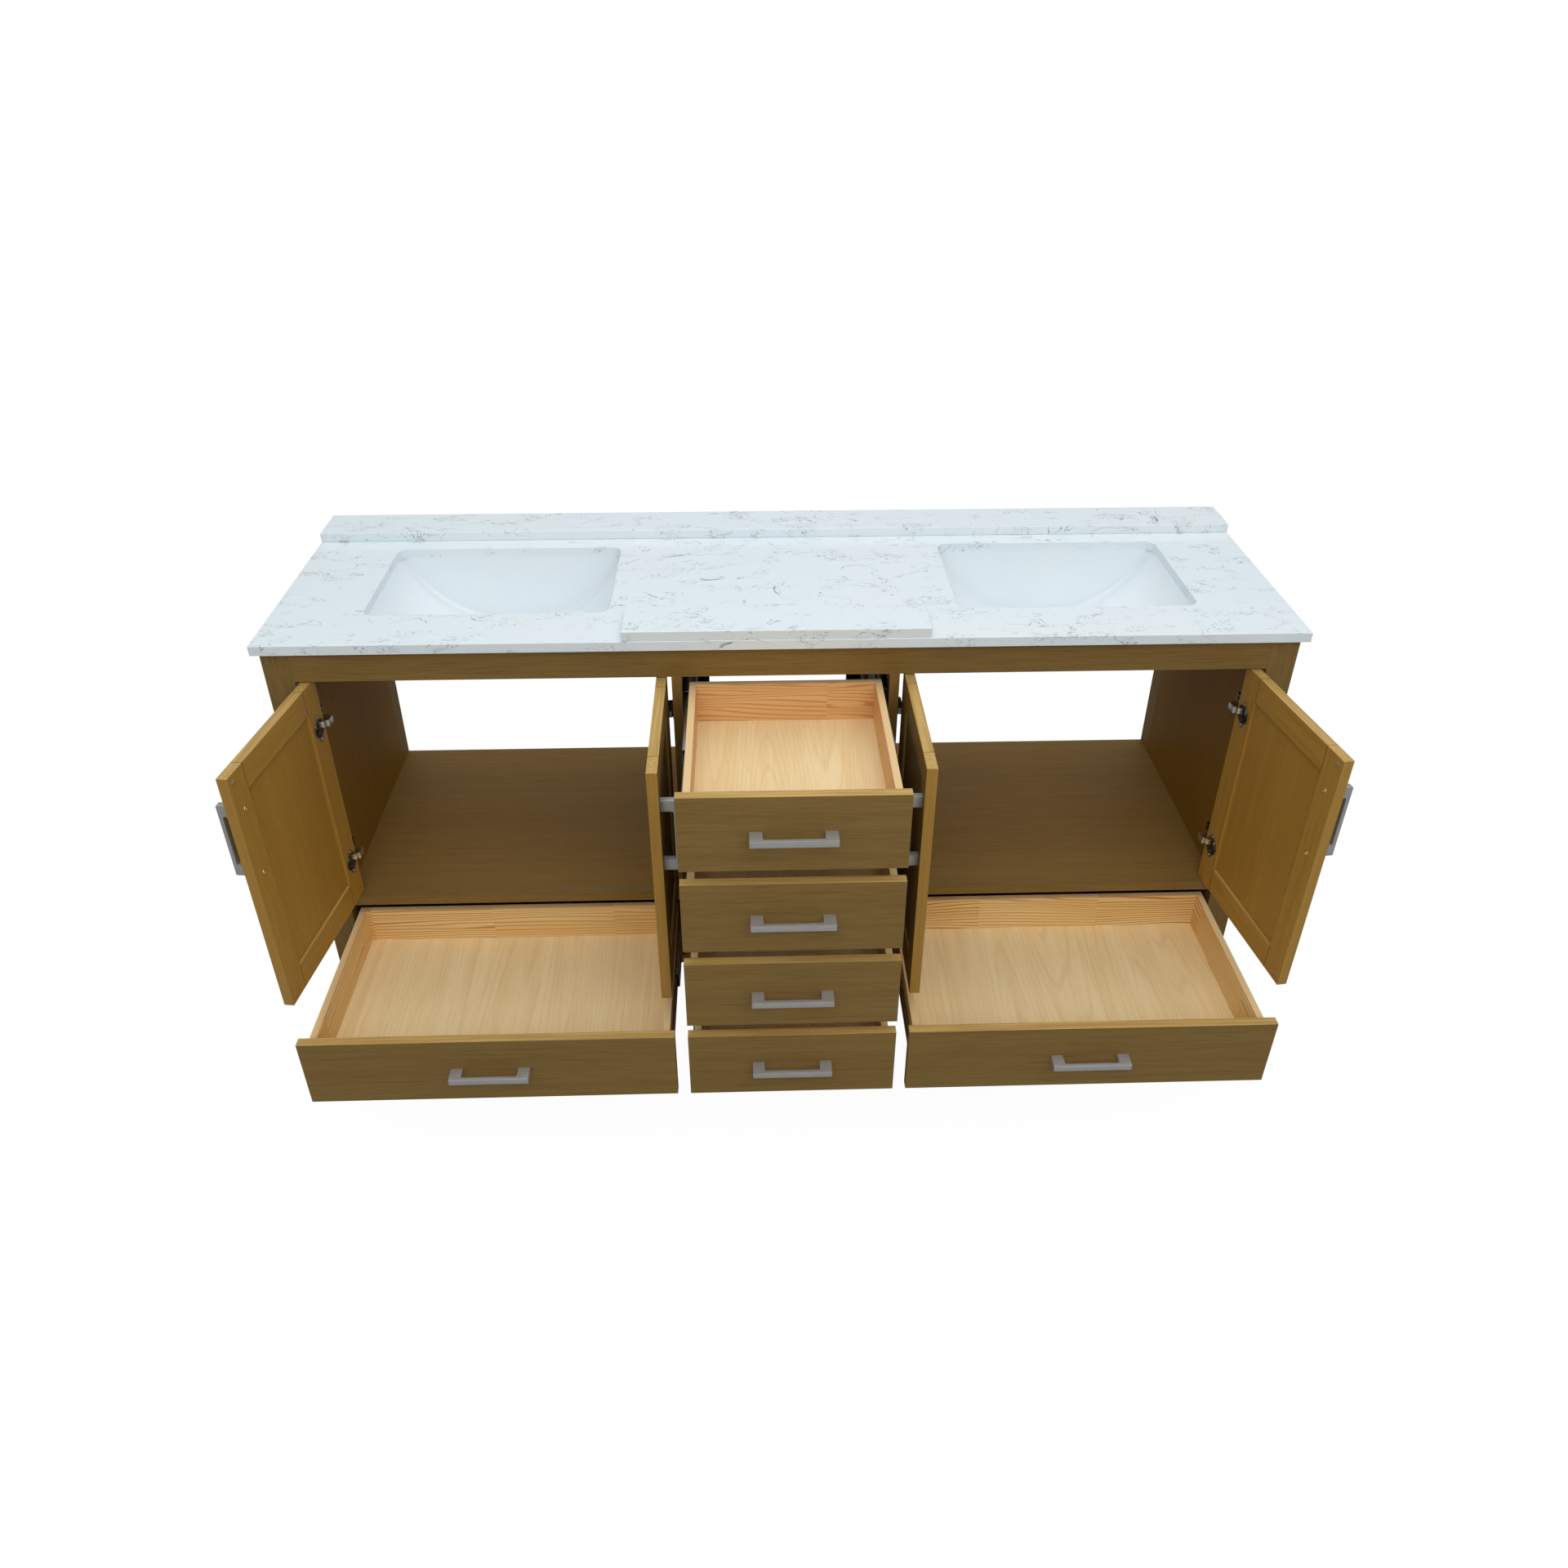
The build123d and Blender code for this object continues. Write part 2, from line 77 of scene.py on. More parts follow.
class Graph:
    """One material and short-hand for its nodes."""

    def __init__(self, name, **surface):
        self.material = bpy.data.materials.new(name)
        self.material.use_nodes = True
        self.tree = self.material.node_tree
        self.shader = self.tree.nodes["Principled BSDF"]
        for socket, value in surface.items():
            self.set(self.shader, socket.replace("_", " "), value)

    def set(self, node, socket, value):
        target = node.inputs[socket]
        if isinstance(value, bpy.types.NodeSocket):
            self.tree.links.new(value, target)
        elif hasattr(target.default_value, "__len__") and len(value) < len(target.default_value):
            target.default_value = (*value, 1.0)
        else:
            target.default_value = value

    def add(self, kind, inputs, **settings):
        node = self.tree.nodes.new("ShaderNode" + kind)
        for key, value in settings.items():
            setattr(node, key, value)
        for socket, value in inputs.items():
            self.set(node, socket, value)
        return node

    def math(self, operation, a, b=0.0, c=0.0):
        return self.add("Math", {0: a, 1: b, 2: c}, operation=operation).outputs[0]

    def between(self, value, low, high):
        """1 where value lies between two limits."""
        above = self.math("GREATER_THAN", value, low)
        return self.math("MULTIPLY", above, self.math("LESS_THAN", value, high))

    def blend(self, factor, a, b):
        node = self.add("Mix", {0: factor, 6: a, 7: b}, data_type="RGBA")
        return node.outputs[2]

    def steer(self, factor, a, b):
        node = self.add("Mix", {0: factor, 4: a, 5: b}, data_type="VECTOR")
        return node.outputs[1]

    def scaled(self, vector, scale, shift=(0, 0, 0)):
        inputs = {"Vector": vector, "Scale": scale, "Location": shift}
        return self.add("Mapping", inputs).outputs[0]

    def noise(self, vector, scale, detail=2.0, roughness=0.5, distortion=0.0):
        inputs = {
            "Vector": vector,
            "Scale": scale,
            "Detail": detail,
            "Roughness": roughness,
            "Distortion": distortion,
        }
        return self.add("TexNoise", inputs).outputs["Fac"]

    def ramp(self, value, low, high, to_low=0.0, to_high=1.0):
        inputs = {"Value": value, 1: low, 2: high, 3: to_low, 4: to_high}
        return self.add("MapRange", inputs, interpolation_type="SMOOTHSTEP").outputs[0]

    def place(self):
        """Position on the piece, which moves with it."""
        return self.tree.nodes.new("ShaderNodeTexCoord").outputs["Object"]

    def facing(self):
        """The piece's own surface direction, which turns with it."""
        return self.tree.nodes.new("ShaderNodeTexCoord").outputs["Normal"]

    def split(self, vector):
        return self.add("SeparateXYZ", {0: vector}).outputs

    def bump(self, height, distance, strength=1.0):
        node = self.add("Bump", {"Height": height, "Distance": distance, "Strength": strength})
        self.set(self.shader, "Normal", node.outputs[0])

    def colour(self, value):
        self.set(self.shader, "Base Color", value)

    def roughness(self, value):
        self.set(self.shader, "Roughness", value)


# ------------------------------------------------------------------ wood

AXES = {"x": 0, "y": 1, "z": 2}
GRAIN_PULL = 0.02

# Each stain is a dark, a middle and a light tone.
FRONT_STAIN = ((0.150, 0.088, 0.021), (0.230, 0.137, 0.036), (0.268, 0.164, 0.047))
DOOR_STAIN = ((0.320, 0.166, 0.022), (0.405, 0.218, 0.036), (0.450, 0.250, 0.046))
SHELF_STAIN = ((0.205, 0.112, 0.027), (0.268, 0.150, 0.038), (0.300, 0.172, 0.046))
LINER_STAIN = ((0.205, 0.102, 0.011), (0.243, 0.124, 0.015), (0.262, 0.136, 0.018))
# The near-black stain is painted shade: it stands in for the deep shade behind and between the
# drawers.
SHADE_PAINTED_STAIN = ((0.020, 0.013, 0.006), (0.032, 0.021, 0.010), (0.042, 0.028, 0.014))
STAIN_EDGE = ((0.44, 0.275, 0.080), (0.60, 0.395, 0.135))
SEAM_TONE = (0.03, 0.016, 0.006)


def stretched(graph, vector, along, shift=0.0, across=1, coarse=GRAIN_PULL):
    """Coordinates that run fast across the grain and slowly along it."""
    scale = [across, across, across]
    scale[AXES[along]] = coarse
    return graph.scaled(vector, scale, (shift, shift * 1.7, shift * 0.6))


def stain(graph, run, palette):
    """Fine open pores and faint broad streaks, on coordinates stretched along the grain."""
    dark, middle, light = palette
    pores = graph.noise(run, 1050, 3, 0.65)
    fibre = graph.noise(run, 430, 4, 0.6, 0.3)
    streak = graph.noise(run, 60, 3, 0.5, 0.3)
    tone = graph.blend(graph.ramp(streak, 0.20, 0.85), middle, light)
    tone = graph.blend(graph.ramp(fibre, 0.46, 0.74, 0.0, 0.70), tone, dark)
    tone = graph.blend(graph.ramp(pores, 0.52, 0.70, 0.0, 0.60), tone, dark)
    pits = graph.math("MULTIPLY", pores, 0.6)
    ribs = graph.math("MULTIPLY", fibre, 0.4)
    return tone, graph.math("ADD", pits, ribs)


def finish_wood(graph, tone, relief, gloss):
    """Colour, gloss and pore relief of a wood, as a finished material."""
    graph.colour(tone)
    graph.roughness(graph.ramp(relief, 0.3, 0.7, gloss, gloss + 0.12))
    graph.bump(relief, 0.00012, 0.5)
    return graph.material


def turned_facing(graph, turn):
    """The surface direction's parts, as if the piece were turned back."""
    inputs = {"Vector": graph.facing(), "Rotation": (0, 0, turn)}
    return graph.split(graph.add("Mapping", inputs, vector_type="TEXTURE").outputs[0])


def narrow_face(graph, axis, turn):
    """1 on a board's upper and lower edges, and part of that on its upright edges."""
    parts = turned_facing(graph, turn)
    narrow = graph.ramp(graph.math("ABSOLUTE", parts[AXES[axis]]), 0.75, 0.55)
    level = graph.ramp(graph.math("ABSOLUTE", parts[2]), 0.3, 0.7, 0.12, 1.0)
    return graph.math("MULTIPLY", narrow, level)


def edge_tone(graph, run):
    """The paler tone of a board's sawn edges."""
    return graph.blend(graph.ramp(graph.noise(run, 300, 3), 0.35, 0.65), *STAIN_EDGE)


def side_palette(graph, factor, one_side, other_side):
    """Each tone of a stain, going from one stain to another by a factor."""
    return [graph.blend(factor, one, other) for one, other in zip(one_side, other_side)]


def stained_wood(name, along, shift, palette, edge_axis=None, sheen=0.22, gloss=0.42):
    """Stained board with its grain along one axis.

    With an edge axis, the narrow faces that don't look along it are paler.
    """
    graph = Graph(name, Specular_IOR_Level=sheen)
    run = stretched(graph, graph.place(), along, shift)
    tone, relief = stain(graph, run, palette)
    if edge_axis:
        tone = graph.blend(narrow_face(graph, edge_axis, 0.0), tone, edge_tone(graph, run))
    return finish_wood(graph, tone, relief, gloss)


def painted_shade_side(graph, vector, side):
    """How far the surface looks to the side that a drawer hides and shades, from -1 to 1;
    painted shade goes on that side.
    """
    normal = graph.split(graph.facing())
    if side == "middle":
        outward = graph.math("SIGN", graph.split(vector)[0])
        return graph.math("MULTIPLY", graph.math("MULTIPLY", normal[0], outward), -1)
    return graph.math("MULTIPLY", normal[1], -1) if side == "front" else normal[2]


def shade_painted_wood(name, along, shift, shaded_side):
    """Board that is stained on the sides in use, with painted shade, near black, on the side a
    drawer hides and shades.
    """
    graph = Graph(name, Specular_IOR_Level=0.12)
    vector = graph.place()
    # Painted shade: the shelf stain turns near black on the side in the drawers' shade.
    painted_shade = graph.ramp(painted_shade_side(graph, vector, shaded_side), 0.4, 0.7)
    palette = side_palette(graph, painted_shade, SHELF_STAIN, SHADE_PAINTED_STAIN)
    tone, relief = stain(graph, stretched(graph, vector, along, shift), palette)
    return finish_wood(graph, tone, relief, 0.45)


# A door is a frame of stiles and rails around a panel. X is measured from its pivot.
STILE = 50 * MM
HINGE_EDGE = 12.5 * MM
DOOR_WIDTH = 327.75 * MM
DOOR_THICK = 18 * MM
DOOR_FRONT = -6 * MM
DOOR_BACK = DOOR_FRONT + DOOR_THICK
SEAM = 0.6 * MM
STAVE_WIDTH = 0.048


class Door:
    """Where a door is: its pivot, how it is turned, and its size when shut."""

    def __init__(self, name):
        joint = JOINTS[name]
        self.name = name
        self.pivot = Vector(joint["pos_m"])
        self.side = 1.0 if joint["axis"][2] > 0 else -1.0
        self.turn = -self.side * math.radians(joint["range_deg"][0])
        low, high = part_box(name + "_frame")
        self.low, self.high = low.z, high.z

    def matrix(self):
        """From a shut right-hinged door, about its pivot, to this door's own place."""
        place = Matrix.Translation((self.pivot.x, self.pivot.y, 0))
        return place @ Matrix.Rotation(self.turn, 4, "Z") @ Matrix.Diagonal((self.side, 1, 1, 1))


def door_vector(graph, door):
    """Place on the door as if it were shut, measured from its pivot."""
    inputs = {
        "Vector": graph.place(),
        "Location": (door.pivot.x, door.pivot.y, 0),
        "Rotation": (0, 0, door.turn),
    }
    return graph.add("Mapping", inputs, vector_type="TEXTURE").outputs[0]


def door_palette(graph, door):
    """Darker on the door's outer face, as on the drawer fronts, than on its back."""
    outer = graph.ramp(turned_facing(graph, door.turn)[1], -0.4, -0.7)
    return side_palette(graph, outer, DOOR_STAIN, FRONT_STAIN)


def door_frame_wood(door, shift):
    """Upright grain on the stiles, level grain on the rails, and a fine line at each joint."""
    graph = Graph(door.name + "_frame_wood", Specular_IOR_Level=0.22)
    vector = door_vector(graph, door)
    parts = graph.split(vector)
    across = graph.math("MULTIPLY", parts[0], door.side)
    free = HINGE_EDGE - DOOR_WIDTH
    inside = graph.between(across, free + STILE, HINGE_EDGE - STILE)
    upright = stretched(graph, vector, "z", shift)
    level = stretched(graph, vector, "x", shift + 5)
    run = graph.steer(inside, upright, level)
    tone, relief = stain(graph, run, door_palette(graph, door))
    tone = graph.blend(narrow_face(graph, "y", door.turn), tone, edge_tone(graph, run))
    opening = graph.between(parts[2], door.low + STILE, door.high - STILE)
    rail = graph.math("SUBTRACT", 1.0, opening)
    for line in (free + STILE, HINGE_EDGE - STILE):
        seam = graph.math("MULTIPLY", rail, graph.between(across, line - SEAM, line + SEAM))
        tone = graph.blend(graph.math("MULTIPLY", seam, 0.9), tone, SEAM_TONE)
    return finish_wood(graph, tone, relief, 0.42)


def door_panel_wood(door, shift):
    """A panel of upright staves glued edge to edge, each a little different."""
    graph = Graph(door.name + "_panel_wood", Specular_IOR_Level=0.22)
    vector = door_vector(graph, door)
    run = stretched(graph, vector, "z", shift)
    palette = door_palette(graph, door)
    tone, relief = stain(graph, run, palette)
    wander = graph.math("MULTIPLY", graph.noise(run, 9, 2), 0.03)
    stave = graph.math("SNAP", graph.math("ADD", graph.split(vector)[0], wander), STAVE_WIDTH)
    pick = graph.add("TexWhiteNoise", {"W": stave}, noise_dimensions="1D").outputs["Value"]
    tone = graph.blend(graph.math("MULTIPLY", pick, 0.45), tone, palette[0])
    return finish_wood(graph, tone, relief, 0.40)


# Pine and maple: a pale, a warm and a line tone.
PINE = ((0.93, 0.68, 0.33), (0.86, 0.57, 0.225), (0.50, 0.235, 0.058))
RED_PINE = ((0.84, 0.53, 0.25), (0.74, 0.42, 0.17), (0.40, 0.165, 0.050))
PINE_TOP = (0.82, 0.59, 0.31)
MAPLE = ((0.93, 0.74, 0.43), (0.87, 0.66, 0.345), (0.62, 0.41, 0.185))
BLOCK_LENGTH = 0.243
RING_PITCH = 0.0076


def pine_wood(name, shift, strong, palette=PINE, wave=0.06):
    """Pale finger-jointed pine: each wall's grain runs along its own length."""
    graph = Graph(name, Specular_IOR_Level=0.25)
    x, y, z = graph.split(graph.place())
    normal = graph.split(graph.facing())
    along_y = graph.ramp(graph.math("ABSOLUTE", normal[0]), 0.4, 0.6)
    length = graph.add("Mix", {0: along_y, 2: x, 3: y}, data_type="FLOAT").outputs[0]
    block = graph.math("SNAP", graph.math("ADD", length, 7.13 + shift), BLOCK_LENGTH)
    pick = graph.add("TexWhiteNoise", {"W": block}, noise_dimensions="1D").outputs["Value"]
    offset = graph.math("MULTIPLY", pick, 0.37)
    parts = {0: length, 1: offset, 2: graph.math("ADD", z, offset)}
    flat = graph.add("CombineXYZ", parts).outputs[0]
    run = graph.scaled(flat, (0.12, 1, 1), (shift, 0, 0))
    wobble = graph.noise(run, 14, 2, 0.5, 0.4)
    sway = graph.math("MULTIPLY", wobble, wave)
    height = graph.math("ADD", graph.math("ADD", z, offset), sway)
    rings = graph.math("SINE", graph.math("MULTIPLY", height, 2 * math.pi / RING_PITCH))
    rings = graph.ramp(rings, 0.25, 1.0)
    fine = graph.noise(graph.scaled(flat, (6, 420, 420)), 1.0, 3, 0.6)
    fleck = graph.noise(graph.scaled(flat, (28, 1, 150), (shift, 0, 0)), 1.0, 2, 0.5)
    pale, warm, line = palette
    tone = graph.blend(graph.ramp(wobble, 0.3, 0.7), pale, warm)
    depth = graph.ramp(pick, 0.0, 1.0, 0.45 * strong, 0.80 * strong)
    tone = graph.blend(graph.math("MULTIPLY", rings, depth), tone, line)
    tone = graph.blend(graph.ramp(fine, 0.5, 0.75, 0.0, 0.22), tone, line)
    tone = graph.blend(graph.ramp(fleck, 0.66, 0.78, 0.0, 0.30), tone, line)
    top = graph.ramp(graph.math("ABSOLUTE", normal[2]), 0.5, 0.8, 0.0, 0.75)
    graph.colour(graph.blend(top, tone, PINE_TOP))
    graph.roughness(graph.ramp(fine, 0.3, 0.7, 0.42, 0.55))
    graph.bump(fine, 0.00012, 0.5)
    return graph.material


def maple_board(name, shift):
    """Maple face: level tone with long narrow figure running front to back."""
    graph = Graph(name, Specular_IOR_Level=0.3)
    vector = graph.place()
    run = graph.scaled(vector, (1, 0.055, 1), (shift, shift * 2, 0))
    field = graph.noise(run, 7.0, 1, 0.4, 0.1)
    contour = graph.math("SINE", graph.math("MULTIPLY", field, 250))
    contour = graph.ramp(contour, 0.55, 1.0)
    fine = graph.noise(graph.scaled(vector, (420, 16, 420)), 1.0, 3, 0.6)
    bands = graph.noise(run, 45, 4, 0.6)
    pale, warm, line = MAPLE
    tone = graph.blend(graph.ramp(bands, 0.32, 0.7), pale, warm)
    tone = graph.blend(graph.math("MULTIPLY", contour, 0.17), tone, line)
    tone = graph.blend(graph.ramp(fine, 0.5, 0.75, 0.0, 0.22), tone, line)
    graph.colour(tone)
    graph.roughness(graph.ramp(fine, 0.3, 0.7, 0.40, 0.50))
    graph.bump(fine, 0.00005, 0.4)
    return graph.material


# ------------------------------------------------------------------ stone, glaze, metal

STONE_BASE = (0.805, 0.890, 0.930)
STONE_WARM = (0.825, 0.892, 0.920)
STONE_SPECK = (0.60, 0.65, 0.68)
VEIN = (0.13, 0.14, 0.15)
# Long, short and tiny veins: strength, scale, width, patch scale, patch level, twist.
VEIN_SIZES = (
    (0.70, 8, 0.0045, 12, 0.50, 1.4),
    (0.72, 26, 0.011, 15, 0.52, 1.7),
    (0.50, 64, 0.022, 30, 0.56, 1.0),
)
GLAZE_TONES = ((0.82, 0.89, 0.93), (0.84, 0.90, 0.93))
BRUSH_ACROSS = 2600
BRUSH_ALONG = 30
BUMPER_TONES = ((0.44, 0.36, 0.22), (0.52, 0.43, 0.28))


def veins(graph, vector, scale, width, cover_scale, cover, twist):
    """Thin broken lines where a noise field crosses its middle, kept only in patches."""
    field = graph.noise(vector, scale, 3, 0.55, twist)
    ridge = graph.math("ABSOLUTE", graph.math("SUBTRACT", field, 0.5))
    line = graph.ramp(ridge, width, 0.0)
    patch = graph.ramp(graph.noise(vector, cover_scale, 2, 0.6), cover, cover + 0.07)
    return graph.math("MULTIPLY", line, patch)


def stone():
    graph = Graph("engineered_stone", Roughness=0.16, Specular_IOR_Level=0.5)
    vector = graph.place()
    bent = graph.scaled(vector, (0.55, 1, 1), (0.4, 0.1, 0))
    cloud = graph.noise(vector, 3.2, 3, 0.5)
    tone = graph.blend(graph.ramp(cloud, 0.4, 0.7), STONE_BASE, STONE_WARM)
    speck = graph.noise(vector, 1600, 1, 0.5)
    tone = graph.blend(graph.ramp(speck, 0.62, 0.72, 0.0, 0.10), tone, STONE_SPECK)
    for strength, *figure in VEIN_SIZES:
        lines = veins(graph, bent, *figure)
        tone = graph.blend(graph.math("MULTIPLY", lines, strength), tone, VEIN)
    graph.colour(tone)
    return graph.material


def glaze():
    graph = Graph("white_glaze", Specular_IOR_Level=0.5, Coat_Weight=0.5, Coat_Roughness=0.03)
    vector = graph.place()
    cloud = graph.noise(vector, 9, 2, 0.5)
    graph.colour(graph.blend(graph.ramp(cloud, 0.35, 0.7), *GLAZE_TONES))
    graph.roughness(graph.ramp(graph.noise(vector, 40, 2), 0.3, 0.7, 0.09, 0.14))
    graph.bump(graph.noise(vector, 24, 2, 0.4), 0.0004, 0.25)
    return graph.material


def brushed(name, colour, along, rough=0.3, wear=0.25, metallic=1.0):
    """Metal with fine brush lines along one axis and slightly duller patches."""
    graph = Graph(name, Metallic=metallic)
    vector = graph.place()
    run = stretched(graph, vector, along, 0.0, BRUSH_ACROSS, BRUSH_ALONG)
    lines = graph.noise(run, 1.0, 3, 0.7)
    patch = graph.noise(vector, 60, 2, 0.5)
    dull = tuple(channel * (1 - wear) for channel in colour)
    tone = graph.blend(graph.ramp(lines, 0.3, 0.7), dull, colour)
    tone = graph.blend(graph.ramp(patch, 0.45, 0.75, 0.0, 0.3), tone, dull)
    graph.colour(tone)
    graph.roughness(graph.ramp(lines, 0.3, 0.7, rough - 0.05, rough + 0.1))
    graph.bump(lines, 0.00003, 0.35)
    return graph.material


def rubber():
    graph = Graph("clear_bumper", Transmission_Weight=0.5, Specular_IOR_Level=0.4)
    grain = graph.noise(graph.place(), 900, 2)
    graph.colour(graph.blend(graph.ramp(grain, 0.4, 0.6), *BUMPER_TONES))
    graph.roughness(graph.ramp(grain, 0.3, 0.7, 0.3, 0.45))
    return graph.material


# ------------------------------------------------------------------ mesh building


def arc(centre, radius, start, stop, steps=6):
    """Points of an arc in degrees."""
    turns = [math.radians(start + (stop - start) * step / steps) for step in range(steps + 1)]
    return [(centre[0] + radius * math.cos(t), centre[1] + radius * math.sin(t)) for t in turns]


def mirrored(outline):
    """The other half of an outline, in the order that closes it."""
    return [(-x, y) for x, y in outline[::-1]]


def ribbon(path, thick):
    """Closed outline of a strip that follows a path, with mitred corners."""
    sides = ([], [])
    for number, point in enumerate(path):
        here = Vector(point)
        before = here - Vector(path[number - 1]) if number else None
        after = Vector(path[number + 1]) - here if number + 1 < len(path) else None
        before = (before or after).normalized()
        after = (after or before).normalized()
        along = (before + after).normalized()
        across = Vector((-along.y, along.x)) * thick / 2 / max(0.5, along.dot(before))
        sides[0].append(here + across)
        sides[1].append(here - across)
    return sides[0] + sides[1][::-1]


def extrude(bm, outline, low, high, place):
    """A prism on an outline in the local XY plane, between two heights."""
    rings = []
    for level in (low, high):
        points = [place @ (Vector((p[0], p[1], level)) * MM) for p in outline]
        rings.append([bm.verts.new(point) for point in points])
    lower, upper = rings
    bm.faces.new(lower[::-1])
    bm.faces.new(upper)
    for one in range(len(outline)):
        two = (one + 1) % len(outline)
        bm.faces.new((lower[one], lower[two], upper[two], upper[one]))


def revolve(bm, profile, place, start=0.0, stop=360.0, steps=32):
    """A solid turned about the local Z axis from a closed profile of (radius, height)."""
    whole = stop - start >= 360
    count = steps if whole else steps + 1
    rings = []
    for step in range(count):
        turn = math.radians(start + (stop - start) * step / steps)
        ring = []
        for radius, level in profile:
            local = Vector((radius * math.cos(turn), radius * math.sin(turn), level)) * MM
            ring.append(bm.verts.new(place @ local))
        rings.append(ring)
    for step in range(steps):
        one, two = rings[step], rings[(step + 1) % count]
        for low in range(len(profile)):
            high = (low + 1) % len(profile)
            if profile[low][0] == 0 and profile[high][0] == 0:
                continue
            corners = [one[low], one[high], two[high], two[low]]
            if profile[low][0] == 0:
                corners = [one[low], one[high], two[high]]
            elif profile[high][0] == 0:
                corners = [one[low], one[high], two[low]]
            bm.faces.new(corners)
    if not whole:
        bm.faces.new(rings[0])
        bm.faces.new(rings[-1][::-1])


def make(name, bm, body, material, stands_for=(), bevel=0.0):
    """Turn a mesh in progress into a finished piece that moves with its body."""
    bmesh.ops.remove_doubles(bm, verts=bm.verts, dist=WELD)
    if bevel:
        sharp = [e for e in bm.edges if len(e.link_faces) == 2 and e.calc_face_angle(0) > SHARP]
        shape = {"offset": bevel * MM, "segments": 2, "profile": 0.6, "affect": "EDGES"}
        bmesh.ops.bevel(bm, geom=sharp, **shape)
    bmesh.ops.recalc_face_normals(bm, faces=bm.faces)
    for face in bm.faces:
        face.smooth = True
    for edge in bm.edges:
        edge.smooth = edge.calc_face_angle(0) < SHARP
    mesh = bpy.data.meshes.new(name)
    bm.to_mesh(mesh)
    bm.free()
    mesh.materials.append(material)
    piece = bpy.data.objects.new(name, mesh)
    bpy.context.scene.collection.objects.link(piece)
    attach(piece, body)
    if stands_for:
        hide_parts(*stands_for)
    return piece


def at(x, y, z):
    """A shift given in millimetres."""
    return Matrix.Translation(Vector((x, y, z)) * MM)


def looking(axis, sign=1):
    """Turns local +Z to point along an axis, or against it."""
    if axis == "x":
        return Matrix.Rotation(sign * math.pi / 2, 4, "Y")
    if axis == "y":
        return Matrix.Rotation(-sign * math.pi / 2, 4, "X")
    return Matrix.Identity(4) if sign > 0 else Matrix.Rotation(math.pi, 4, "X")


def screw_head(bm, place, radius=3.8, high=2.0):
    """A pan head with a driver recess, its seat at local z = 0."""
    pocket = radius * 0.38
    profile = [
        (0, 0),
        (radius, 0),
        (radius, high * 0.35),
        (radius * 0.88, high * 0.75),
        (radius * 0.62, high),
        (pocket, high),
        (pocket * 0.55, high * 0.45),
        (0, high * 0.4),
    ]
    revolve(bm, profile, place, steps=20)


# ------------------------------------------------------------------ pulls

PULL_HALF = 70.0
PULL_OUT = 28.0
PULL_POST = 21.0
PULL_BAR = 7.0
PULL_THICK = 12.0
PULL_INNER_R = 3.5
PULL_CORNER_R = 1.4
SCREW_APART = 64.0  # from the pull's middle to each of its screws


def pull_outline():
    """Plan of the bar pull: two feet on the face y = 0 and a bar across them."""
    reach = PULL_HALF - PULL_POST
    corner = (PULL_HALF - PULL_CORNER_R, PULL_CORNER_R - PULL_OUT)
    inner = (PULL_INNER_R - reach, PULL_BAR - PULL_OUT + PULL_INNER_R)
    right = [(reach, 0), (PULL_HALF, 0)] + arc(corner, PULL_CORNER_R, 0, -90, 4)
    hollow = arc(inner, PULL_INNER_R, 180, 270)
    return right + mirrored(right) + hollow + mirrored(hollow)


def pull(bm, place):
    extrude(bm, pull_outline(), -PULL_THICK / 2, PULL_THICK / 2, place)


# ------------------------------------------------------------------ drawers

INSIDE = 867.0
BAY_INNER = 204.0
CENTRE_HALF = 186.0
FACE_Y = -544.0
FRONT_BACK = -526.0
TRAVEL = 380.0
FRONT_HEIGHT = 142.0
BOX_LEVEL = 62.0
BOX_WALL = 12.0
SLIDE_START = 4.0
SLIDE_LENGTH = 375.0
SLIDE_SHEET = 1.5
SLIDE_CURVE = 1.6
SLIDE_SCREWS = (38.0, 166.0, 294.0)
SLIDE_SCREW_SIZE = (3.4, 1.5)
# Rail sections: web and lip, from the bay's wall, half of the height, and the lips' curl.
DRAWER_RAIL = (13.0, 7.5, 11.5, 0.0)
RUNNER_RAIL = (4.0, 12.0, 16.0, 1.2)
CABINET_RAIL = (0.0, 11.0, 22.5, 1.4)


def drawer_bay(body):
    """Left and right walls of the bay a drawer runs in, and the level of its front's top."""
    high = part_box(body + "_front")[1].z / MM
    middle = sum(corner.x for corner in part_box(body + "_front")) / 2 / MM
    if abs(middle) < 1:
        return -CENTRE_HALF, CENTRE_HALF, high
    return (-INSIDE, -BAY_INNER, high) if middle < 0 else (BAY_INNER, INSIDE, high)


def slide_section(web, lip, half, curl):
    """C-shaped rail section: x from the cabinet to the drawer, y up."""
    side = 1 if lip > web else -1
    x_web = web + side * SLIDE_SHEET / 2
    x_lip = lip - side * SLIDE_SHEET / 2
    top = half - SLIDE_SHEET / 2
    path = [(x_lip, top - curl), (x_lip, top), (x_web + side * SLIDE_CURVE, top)]
    path += [(x_web + side * SLIDE_CURVE * 0.3, top - SLIDE_CURVE * 0.3)]
    path += [(x_web, top - SLIDE_CURVE)]
    path += [(x, -y) for x, y in path[::-1]]
    return ribbon(path, SLIDE_SHEET)


def slide(bm, bay, level, shift, rail, screw_at=None):
    """The same rail on both walls of a bay, with the screws that hold it."""
    section = [(x, -y) for x, y in slide_section(*rail)]
    start = FRONT_BACK + SLIDE_START + shift
    for wall, side in ((bay[0], 1), (bay[1], -1)):
        place = at(wall, start, level) @ Matrix.Diagonal((side, 1, 1, 1)) @ looking("y")
        extrude(bm, section, 0, SLIDE_LENGTH, place)
        if screw_at is None:
            continue
        spot, turn = screw_at
        for along in SLIDE_SCREWS:
            seat = at(wall + side * spot, start + along, level) @ looking("x", side * turn)
            screw_head(bm, seat, *SLIDE_SCREW_SIZE)


